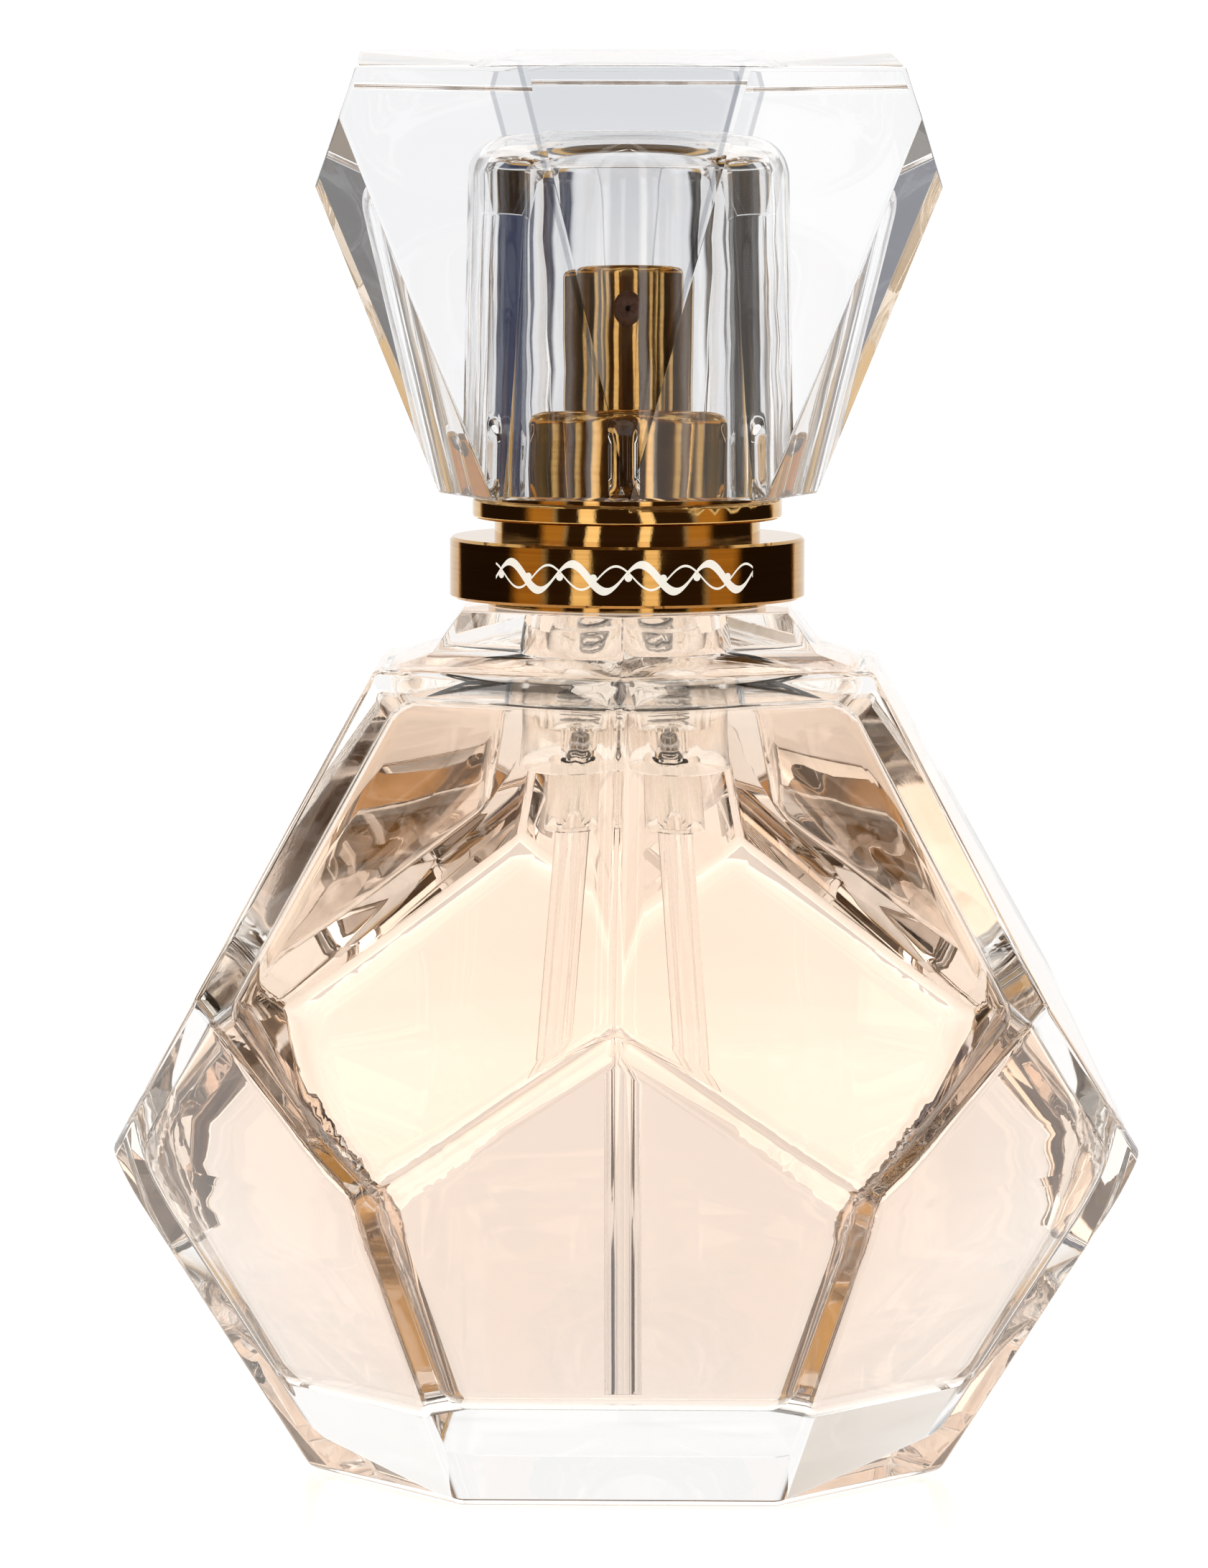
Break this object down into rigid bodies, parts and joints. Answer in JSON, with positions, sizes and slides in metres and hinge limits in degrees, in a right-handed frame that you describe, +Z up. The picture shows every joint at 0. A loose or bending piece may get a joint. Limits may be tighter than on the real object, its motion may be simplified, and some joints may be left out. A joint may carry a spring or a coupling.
{
  "type": "perfume bottle",
  "caption": "Faceted clear glass perfume bottle with pale peach perfume, gold neck ring, crimped spray pump with gold button, and a heavy clear faceted lift-off cap.",
  "frame": {"origin": "on the table under the bottle's axis, at the middle of its base", "axes": "+Z up along the bottle's axis, -Y towards the front, +X to the right seen from the front"},
  "size_m": [0.0658, 0.0622, 0.0908],
  "materials": {
    "clear_glass": "polished",
    "perfume": "clear liquid",
    "gold": "polished gold plate",
    "grey_rubber": "matte",
    "bare_aluminium": "satin",
    "natural_plastic": "natural, slightly milky",
    "white_plastic": "moulded",
    "spring_steel": "drawn wire",
    "clear_tube": "clear plastic",
    "tan_plastic": "moulded",
    "clear_cap": "polished clear resin",
    "clear_liner": "clear plastic"
  },
  "bodies": {
    "bottle": {"bottle_glass": "clear_glass", "perfume_fill": "perfume", "neck_ring": "gold", "neck_gasket": "grey_rubber", "mounting_ferrule": "bare_aluminium", "ferrule_cover": "gold", "pump_housing": "natural_plastic", "turret": "natural_plastic", "stem_seal": "grey_rubber", "dip_tube": "clear_tube", "return_spring": "spring_steel"},
    "stem": {"stem": "white_plastic", "valve_spring": "natural_plastic"},
    "piston": {"piston": "natural_plastic"},
    "ball": {"check_ball": "spring_steel"},
    "button": {"actuator_core": "white_plastic", "actuator_shell": "gold", "nozzle_insert": "tan_plastic"},
    "cap": {"cap_body": "clear_cap", "cap_sleeve": "clear_liner"}
  },
  "joints": [
    {"name": "cap_lift", "type": "slide", "parent": "bottle", "child": "cap", "axis": [0, 0, 1], "range_m": [0, 0.035]},
    {"name": "press", "type": "slide", "parent": "bottle", "child": "stem", "axis": [0, 0, -1], "range_m": [0, 0.0035], "stiffness_N_per_m": 1500, "springref_m": -0.002, "deforming": ["return_spring"]},
    {"name": "button_turn", "type": "hinge", "parent": "stem", "child": "button", "pos_m": [0, 0, 0.0724], "axis": [0, 0, 1], "continuous": true},
    {"name": "piston_lag", "type": "slide", "parent": "stem", "child": "piston", "axis": [0, 0, 1], "range_m": [0, 0.0004], "stiffness_N_per_m": 800, "springref_m": -0.0005, "deforming": ["valve_spring"]},
    {"name": "ball_lift", "type": "slide", "parent": "bottle", "child": "ball", "axis": [0, 0, 1], "range_m": [0, 0.0007]}
  ]
}
